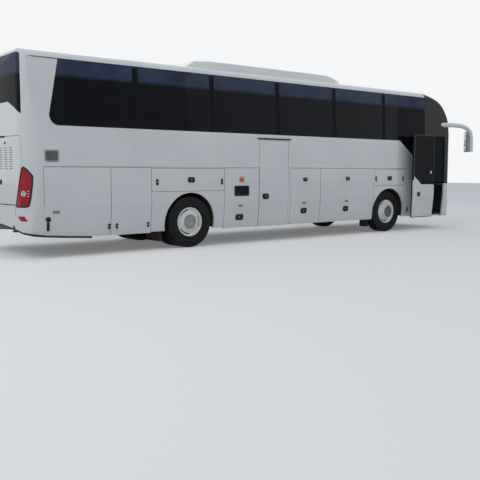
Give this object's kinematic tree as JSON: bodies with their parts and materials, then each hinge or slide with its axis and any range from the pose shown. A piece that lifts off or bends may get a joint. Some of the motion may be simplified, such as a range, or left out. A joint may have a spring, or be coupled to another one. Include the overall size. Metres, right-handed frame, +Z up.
{
  "type": "coach bus",
  "caption": "High-deck coach with two outswinging doors, skirt flaps, hinged engine door, steered front wheels and rolling twin rear wheels.",
  "frame": {"origin": "on the road under the middle of the vehicle's box", "axes": "+X forward, +Y to the vehicle's left, +Z up"},
  "size_m": [12.642, 3.228, 3.83],
  "materials": {
    "white_paint": "gloss",
    "tinted_glass": "polished",
    "windscreen_glass": "polished",
    "black_paint": "gloss",
    "lamp_clear": "polished",
    "lamp_red": "gloss",
    "floor_board": "satin",
    "frame_paint": "satin",
    "cast_iron": "rough",
    "engine": "rough",
    "tyre": "matt",
    "wheel_paint": "satin",
    "rubber": "matt",
    "seat_fabric": "woven",
    "cab_plastic": "matt",
    "rack_plastic": "matt",
    "door_steel": "satin"
  },
  "bodies": {
    "coach_body": {"body_side_left": "white_paint", "body_side_right": "white_paint", "chassis": "frame_paint", "dashboard": "cab_plastic", "deck": "floor_board", "driver_seat": "seat_fabric", "engine_block": "engine", "front_axle_beam": "cast_iron", "front_cap": "black_paint", "front_fascia": "white_paint", "headlamps": "lamp_clear", "luggage_bay": "floor_board", "luggage_racks": "rack_plastic", "mirrors": "white_paint", "passenger_seats": "seat_fabric", "rear_axle_housing": "cast_iron", "rear_fascia": "white_paint", "rear_window": "tinted_glass", "roof": "white_paint", "roof_ac_unit": "white_paint", "side_glass_left": "tinted_glass", "side_glass_right": "tinted_glass", "side_vents": "cab_plastic", "stairs": "floor_board", "steering_wheel": "cab_plastic", "tail_lamps": "lamp_red", "wheel_housings": "rubber", "windscreen": "windscreen_glass"},
    "engine_door": {"engine_door": "white_paint"},
    "flap_right_rear_service": {"flap_right_rear_service": "white_paint"},
    "flap_right_rear_locker": {"flap_right_rear_locker": "white_paint"},
    "flap_right_rear_wheel": {"flap_right_rear_wheel": "white_paint"},
    "flap_right_filler": {"flap_right_filler": "white_paint", "filler_grille": "cab_plastic"},
    "flap_right_luggage_rear": {"flap_right_luggage_rear": "white_paint"},
    "flap_right_luggage_front": {"flap_right_luggage_front": "white_paint"},
    "flap_right_front_wheel": {"flap_right_front_wheel": "white_paint"},
    "flap_left_rear_service": {"flap_left_rear_service": "white_paint"},
    "flap_left_rear_locker": {"flap_left_rear_locker": "white_paint"},
    "flap_left_rear_wheel": {"flap_left_rear_wheel": "white_paint"},
    "flap_left_luggage_rear": {"flap_left_luggage_rear": "white_paint"},
    "flap_left_luggage_mid": {"flap_left_luggage_mid": "white_paint"},
    "flap_left_luggage_front": {"flap_left_luggage_front": "white_paint"},
    "flap_left_front_wheel": {"flap_left_front_wheel": "white_paint"},
    "front_door_swing_arm": {"front_door_arm": "door_steel"},
    "front_door": {"front_door_leaf": "white_paint", "front_door_glass": "tinted_glass"},
    "mid_door_swing_arm": {"mid_door_arm": "door_steel"},
    "mid_door": {"mid_door_leaf": "white_paint"},
    "steered_left": {"knuckle_left": "cast_iron"},
    "steered_right": {"knuckle_right": "cast_iron"},
    "wheel_front_left": {"tyre_front_left": "tyre", "rim_front_left": "wheel_paint"},
    "wheels_rear_left": {"tyre_rear_left": "tyre", "rim_rear_left": "wheel_paint"},
    "wheel_front_right": {"tyre_front_right": "tyre", "rim_front_right": "wheel_paint"},
    "wheels_rear_right": {"tyre_rear_right": "tyre", "rim_rear_right": "wheel_paint"}
  },
  "joints": [
    {"name": "engine_door_hinge", "type": "hinge", "parent": "coach_body", "child": "engine_door", "pos_m": [-6.3, 0, 2.122], "axis": [0, 1, 0], "range_deg": [0, 80]},
    {"name": "flap_right_rear_service_hinge", "type": "hinge", "parent": "coach_body", "child": "flap_right_rear_service", "pos_m": [-5.2675, -1.275, 1.585], "axis": [-1, 0, 0], "range_deg": [0, 85]},
    {"name": "flap_right_rear_locker_hinge", "type": "hinge", "parent": "coach_body", "child": "flap_right_rear_locker", "pos_m": [-4.195, -1.275, 1.585], "axis": [-1, 0, 0], "range_deg": [0, 85]},
    {"name": "flap_right_rear_wheel_hinge", "type": "hinge", "parent": "coach_body", "child": "flap_right_rear_wheel", "pos_m": [-2.8925, -1.275, 1.57], "axis": [-1, 0, 0], "range_deg": [0, 85]},
    {"name": "flap_right_filler_hinge", "type": "hinge", "parent": "coach_body", "child": "flap_right_filler", "pos_m": [-1.555, -1.275, 1.585], "axis": [-1, 0, 0], "range_deg": [0, 85]},
    {"name": "flap_right_luggage_rear_hinge", "type": "hinge", "parent": "coach_body", "child": "flap_right_luggage_rear", "pos_m": [0.2925, -1.275, 1.585], "axis": [-1, 0, 0], "range_deg": [0, 85]},
    {"name": "flap_right_luggage_front_hinge", "type": "hinge", "parent": "coach_body", "child": "flap_right_luggage_front", "pos_m": [1.6875, -1.275, 1.585], "axis": [-1, 0, 0], "range_deg": [0, 85]},
    {"name": "flap_right_front_wheel_hinge", "type": "hinge", "parent": "coach_body", "child": "flap_right_front_wheel", "pos_m": [3.21, -1.275, 1.57], "axis": [-1, 0, 0], "range_deg": [0, 85]},
    {"name": "flap_left_rear_service_hinge", "type": "hinge", "parent": "coach_body", "child": "flap_left_rear_service", "pos_m": [-5.2675, 1.275, 1.585], "axis": [1, 0, 0], "range_deg": [0, 85]},
    {"name": "flap_left_rear_locker_hinge", "type": "hinge", "parent": "coach_body", "child": "flap_left_rear_locker", "pos_m": [-4.195, 1.275, 1.585], "axis": [1, 0, 0], "range_deg": [0, 85]},
    {"name": "flap_left_rear_wheel_hinge", "type": "hinge", "parent": "coach_body", "child": "flap_left_rear_wheel", "pos_m": [-2.8925, 1.275, 1.57], "axis": [1, 0, 0], "range_deg": [0, 85]},
    {"name": "flap_left_luggage_rear_hinge", "type": "hinge", "parent": "coach_body", "child": "flap_left_luggage_rear", "pos_m": [-1.1325, 1.275, 1.585], "axis": [1, 0, 0], "range_deg": [0, 85]},
    {"name": "flap_left_luggage_mid_hinge", "type": "hinge", "parent": "coach_body", "child": "flap_left_luggage_mid", "pos_m": [0.475, 1.275, 1.585], "axis": [1, 0, 0], "range_deg": [0, 85]},
    {"name": "flap_left_luggage_front_hinge", "type": "hinge", "parent": "coach_body", "child": "flap_left_luggage_front", "pos_m": [1.905, 1.275, 1.585], "axis": [1, 0, 0], "range_deg": [0, 85]},
    {"name": "flap_left_front_wheel_hinge", "type": "hinge", "parent": "coach_body", "child": "flap_left_front_wheel", "pos_m": [3.21, 1.275, 1.57], "axis": [1, 0, 0], "range_deg": [0, 85]},
    {"name": "front_door_swing", "type": "hinge", "parent": "coach_body", "child": "front_door_swing_arm", "pos_m": [4.705, -1.12, 1.4], "axis": [0, 0, 1], "range_deg": [0, 143]},
    {"name": "front_door_leaf_pivot", "type": "hinge", "parent": "front_door_swing_arm", "child": "front_door", "pos_m": [4.3536, -1.3848, 1.4], "axis": [0, 0, 1], "range_deg": [-143, 0]},
    {"name": "mid_door_swing", "type": "hinge", "parent": "coach_body", "child": "mid_door_swing_arm", "pos_m": [-1.005, -1.12, 1.26], "axis": [0, 0, 1], "range_deg": [-143, 0]},
    {"name": "mid_door_leaf_pivot", "type": "hinge", "parent": "mid_door_swing_arm", "child": "mid_door", "pos_m": [-0.565, -1.12, 1.26], "axis": [0, 0, 1], "range_deg": [0, 143]},
    {"name": "steer_left", "type": "hinge", "parent": "coach_body", "child": "steered_left", "pos_m": [3.2, 0.9, 0.512], "axis": [0, 0, 1], "range_deg": [-40, 40]},
    {"name": "steer_right", "type": "hinge", "parent": "coach_body", "child": "steered_right", "pos_m": [3.2, -0.9, 0.512], "axis": [0, 0, 1], "range_deg": [-40, 40]},
    {"name": "spin_front_left", "type": "hinge", "parent": "steered_left", "child": "wheel_front_left", "pos_m": [3.2, 1.05, 0.512], "axis": [0, 1, 0], "continuous": true},
    {"name": "spin_rear_left", "type": "hinge", "parent": "coach_body", "child": "wheels_rear_left", "pos_m": [-2.86, 0.925, 0.512], "axis": [0, 1, 0], "continuous": true},
    {"name": "spin_front_right", "type": "hinge", "parent": "steered_right", "child": "wheel_front_right", "pos_m": [3.2, -1.05, 0.512], "axis": [0, 1, 0], "continuous": true},
    {"name": "spin_rear_right", "type": "hinge", "parent": "coach_body", "child": "wheels_rear_right", "pos_m": [-2.86, -0.925, 0.512], "axis": [0, 1, 0], "continuous": true}
  ],
  "couplings": [
    {"joint": "front_door_leaf_pivot", "follows": "front_door_swing", "ratio": -1},
    {"joint": "mid_door_leaf_pivot", "follows": "mid_door_swing", "ratio": -1},
    {"joint": "steer_right", "follows": "steer_left", "ratio": 1}
  ]
}
